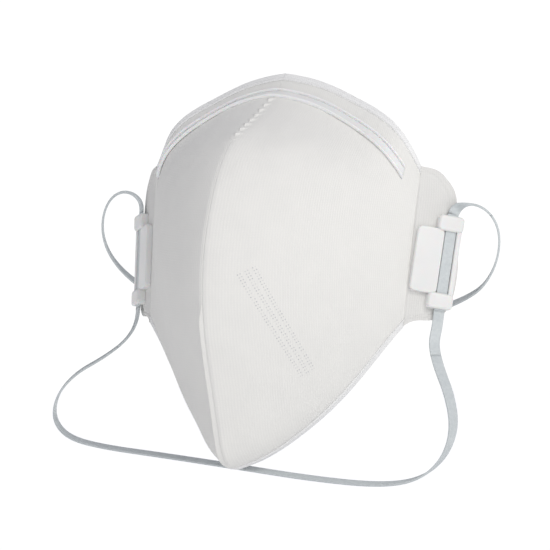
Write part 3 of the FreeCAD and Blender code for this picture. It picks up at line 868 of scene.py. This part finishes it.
def plasticMaterial(name, colour, roughness, grain):
    look = plasticLook
    material, tree, shader = newMaterial(name, colour, roughness)
    place = node(tree, "ShaderNodeTexCoord").outputs["Object"]
    shader.inputs["Subsurface Weight"].default_value = look["subsurface"]
    shader.inputs["Subsurface Scale"].default_value = look["subsurfaceScale"]
    fine = noiseAt(tree, place, look["fine"], 2.0)
    broad = levels(tree, noiseAt(tree, place, look["broad"], 2.0), *look["broadRange"])
    darker = tuple(c * look["darker"] for c in colour)
    tree.links.new(mixColour(tree, broad, colour, darker), shader.inputs["Base Color"])
    rough = levels(tree, fine, 0.0, 1.0, roughness - look["smoother"], roughness + look["rougher"])
    tree.links.new(rough, shader.inputs["Roughness"])
    addBump(tree, shader, fine, grain, look["depth"])
    return material


stripPlastic = plasticMaterial("stripPlastic", (0.97, 0.97, 0.965), 0.35, 0.15)
webPlastic = plasticMaterial("webPlastic", (0.85, 0.85, 0.84), 0.45, 0.25)
bucklePlastic = plasticMaterial("bucklePlastic", (0.88, 0.88, 0.865), 0.36, 0.2)


def ribTop(low, top, s):
    # a sheathed wire is a half-round rib with a rounded end
    sizes = stripSet
    around = 2 * low / max(joinWithin, low + top) - 1
    crown = sizes["foot"] + (1 - sizes["foot"]) * math.sqrt(max(0.0, 1 - around * around))
    cap = max(0.0, s - sizes["capFrom"]) / (1 - sizes["capFrom"])
    return -sizes["lift"] - sizes["wireHeight"] * crown * math.sqrt(max(0.0, 1 - cap * cap))


def webTop(low, top, s):
    return -stripSet["lift"] - stripSet["webThickness"]


def stripUnder(low, top, s):
    return -stripSet["under"]


def addStrip():
    sizes = stripSet
    near = sizes["web"] / 2 + sizes["wireGap"]
    far = near + sizes["wireWidth"]
    for name, cadNode, low, high, front, material, rows in (
        ("stripWeb", "nose_strip_web", -near, near, webTop, webPlastic, 4),
        ("stripRibUpper", "nose_wire_upper", near, far, ribTop, stripPlastic, 12),
        ("stripRibLower", "nose_wire_lower", -far, -near, ribTop, stripPlastic, 12),
    ):
        shape = stripLine(low), stripLine(high), front, stripUnder
        shell = clothShell((0.0, sizes["end"]), *shape, sizes["grid"], rows, sizes["crowd"])
        bothSides(name, shell, (material,), cadNode, "half", laminateSet["keep"])


foamSet = {
    "width": 13.0, "setBack": 11.0, "end": 0.62, "depth": 2.6, "thickness": 3.0, "edge": 0.25, "sideRound": 4,
    "endFrom": 0.93, "endRound": 3, "grid": (60, 20), "fill": 0.7,
}
foamLook = {
    "colour": (0.74, 0.75, 0.76), "dark": (0.6, 0.61, 0.62), "roughness": 0.85, "cells": 1500.0,
    "cellRange": (0.1, 0.6), "bump": 0.6, "depth": 0.0002,
}


def foamMaterial():
    look = foamLook
    material, tree, shader = newMaterial("sealFoam", look["colour"], look["roughness"])
    pattern = {"Vector": placeOf(tree, "clothPlace"), "Scale": look["cells"]}
    cells = node(tree, "ShaderNodeTexVoronoi", pattern).outputs["Distance"]
    share = levels(tree, cells, *look["cellRange"])
    tree.links.new(mixColour(tree, share, look["colour"], look["dark"]), shader.inputs["Base Color"])
    addBump(tree, shader, cells, look["bump"], look["depth"])
    return material


def foamFront(low, top, s):
    return foamSet["depth"]


def foamBack(low, top, s):
    # full in the middle, pulled in along the sides and at the end
    sizes = foamSet
    around = abs(2 * low / max(joinWithin, low + top) - 1)
    ending = max(0.0, (s - sizes["endFrom"]) / (1 - sizes["endFrom"]))
    full = math.sqrt(max(0.0, 1 - around ** sizes["sideRound"]) * max(0.0, 1 - ending ** sizes["endRound"]))
    return sizes["depth"] + sizes["thickness"] * (sizes["edge"] + (1 - sizes["edge"]) * full)


def addFoam():
    sizes = foamSet
    low = fromTop(sizes["setBack"] + sizes["width"] / 2)
    high = fromTop(sizes["setBack"] - sizes["width"] / 2)
    shell = clothShell((0.0, sizes["end"]), low, high, foamFront, foamBack, *sizes["grid"])
    pads = bothSides("noseFoam", shell, (foamMaterial(),), "nose_foam", "half", laminateSet["keep"])


addStrip()
addFoam()
print("nose strip and foam made")

# seams in the middle

noseSeamSet = {
    "length": 33.0, "gap": 2.07, "topGap": 0.4, "reach": 2.1, "pitch": 4.05, "pit": 1.35, "rise": 0.75,
    "flush": 0.04, "fade": (2.5, 1.0), "depth": 0.7, "grid": (28, 170),
}
chinSeamSet = {
    "start": 3.96, "length": 68.31, "width": 1.0, "lean": 58.0, "thickness": 0.8, "thinning": 0.35,
    "sunk": 0.5, "root": 0.9, "taper": 9.0, "nudge": 0.002, "pattern": (0.003, 0.19), "grid": (110, 8),
}


def finishSeam(piece, cadNode):
    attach(piece, "centre")
    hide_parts(cadNode)
    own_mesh(piece)


def noseSeamFront(low, top, s):
    # bars of cloth stand up between the pressed pits
    sizes = noseSeamSet
    phase = low % sizes["pitch"] - sizes["pitch"] / 2
    pit = math.exp(-((phase / sizes["pit"]) ** 4))
    fade = smooth(low / sizes["fade"][0]) * smooth(top / sizes["fade"][1])
    return -sizes["flush"] - sizes["rise"] * (1 - smooth(s)) * fade * (1 - pit)


def noseSeamBack(low, top, s):
    return noseSeamSet["depth"]


def addNoseSeam():
    sizes, strip = noseSeamSet, stripSet
    top = runUp(0)[-1] - strip["setBack"][0] - strip["web"] / 2 - strip["wireGap"] - strip["wireWidth"]
    start = top - sizes["gap"] - sizes["length"]
    lines = fromLower(start), fromLower(top - sizes["topGap"])
    span = (0.0, sizes["reach"] / panelWidth)
    shell = clothShell(span, *lines, noseSeamFront, noseSeamBack, *sizes["grid"], across=True)
    finishSeam(finishMesh(shell, "noseSeam", coverCloth), "nose_seam")


def addChinSeam():
    # a trimmed fin that leans to the left half
    sizes = chinSeamSet
    low, high = shareAt(0, sizes["start"]), shareAt(0, sizes["start"] + sizes["length"])
    tip, sideways = math.radians(sizes["lean"]), Vector((1, 0, 0))
    bm, grid, place, back = doubleGrid(*sizes["grid"])
    for vert in bm.verts:
        a, b, _ = vert[grid]
        s = low + (high - low) * a
        way = ridge(min(1, s + sizes["nudge"])) - ridge(max(0, s - sizes["nudge"]))
        forward = Vector((0, -way.z, way.y)).normalized()
        stand = forward * math.cos(tip) - sideways * math.sin(tip)
        flatSide = forward * math.sin(tip) + sideways * math.cos(tip)
        half = sizes["thickness"] / 2 * (1 - sizes["thinning"] * b)
        height = sizes["width"] * smooth(min(a, 1 - a) * sizes["taper"]) + sizes["root"]
        foot = ridge(s) - forward * (setBack(0, s) + sizes["sunk"])
        vert[place] = (b * sizes["pattern"][0], a * (high - low) * sizes["pattern"][1], 0)
        vert.co = (foot + stand * (height * b) + flatSide * (half if vert in back else -half)) * mm
    closeGrid(bm)
    finishSeam(finishMesh(bm, "chinSeam", coverCloth), "chin_seam")


addNoseSeam()
addChinSeam()
print("seams made")

# the buckles and their backings keep the frame's shape

for side in ("right", "left"):
    for nodeName in ("buckle", "buckle_backing"):
        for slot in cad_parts[f"{nodeName}_{side}"].material_slots:
            slot.material = bucklePlastic
print("buckles finished")

# floor and light

stageSet = {
    "floorBelow": 0.07, "radius": 3.0, "sides": 96, "floor": (0.93, 0.93, 0.93), "roughness": 0.9,
    # the floor glows less near the middle than further out: a painted shadow beneath the mask
    "glow": 0.60, "paintedShadowGlow": 0.12, "paintedShadowReach": (0.1, 0.9), "swing": 0.10, "above": 0.66,
    "shade": (0.925, 0.93, 1.0), "horizon": 1.05, "horizonBand": (0.12, 0.06), "key": 8.8,
    "keyColour": (1.0, 0.985, 0.95), "keySize": 0.9, "keyAt": (60.0, 34.0), "keyReach": 1.6,
}


def addFloor():
    sizes = stageSet
    bm = bmesh.new()
    bmesh.ops.create_circle(bm, cap_ends=True, segments=sizes["sides"], radius=sizes["radius"])
    bmesh.ops.translate(bm, verts=bm.verts[:], vec=(0, 0, cadBox[0][2] - sizes["floorBelow"]))
    material, tree, shader = newMaterial("paleFloor", sizes["floor"], sizes["roughness"])
    shader.inputs["Emission Color"].default_value = (1, 1, 1, 1)
    place = node(tree, "ShaderNodeTexCoord").outputs["Object"]
    # painted shadow: the floor's glow is dimmed beneath the mask and rises to full between the two reach
    # radii
    away = node(tree, "ShaderNodeVectorMath", {0: place}, operation="LENGTH").outputs["Value"]
    glow = levels(tree, away, *sizes["paintedShadowReach"], sizes["paintedShadowGlow"], sizes["glow"], "SMOOTHSTEP")
    tree.links.new(glow, shader.inputs["Emission Strength"])
    finishMesh(bm, "floor", material, True)


def addWorld():
    # soft light from above and from the key's side, and a white band round the horizon
    sizes = stageSet
    world = bpy.data.worlds.new("studio")
    world.use_nodes = True
    scene.world = world
    tree = world.node_tree
    way = node(tree, "ShaderNodeTexCoord").outputs["Generated"]
    height = axes(tree, way)[2]
    band = levels(tree, maths(tree, "ABSOLUTE", height), *sizes["horizonBand"])
    facing = {0: way, 1: wayTo(*sizes["keyAt"])}
    toKey = node(tree, "ShaderNodeVectorMath", facing, operation="DOT_PRODUCT").outputs["Value"]
    soft = maths(tree, "MULTIPLY", toKey, sizes["swing"])
    soft = maths(tree, "MULTIPLY_ADD", maths(tree, "MAXIMUM", height, 0.0), sizes["above"], soft)
    rise = maths(tree, "SUBTRACT", sizes["horizon"], soft)
    background = tree.nodes["Background"]
    tree.links.new(mixColour(tree, band, sizes["shade"], (1, 1, 1)), background.inputs["Color"])
    tree.links.new(maths(tree, "MULTIPLY_ADD", band, rise, soft), background.inputs["Strength"])


def addKey():
    sizes = stageSet
    light = bpy.data.lights.new("key", "AREA")
    light.shape = "DISK"
    light.size = sizes["keySize"]
    light.energy = sizes["key"]
    light.color = sizes["keyColour"]
    way = wayTo(*sizes["keyAt"])
    key = bpy.data.objects.new("key", light)
    key.location = way * sizes["keyReach"]
    key.rotation_euler = way.to_track_quat("Z", "Y").to_euler()
    scene.collection.objects.link(key)


addFloor()
addWorld()
addKey()
scene.view_settings.view_transform = "Standard"
print("stage set")
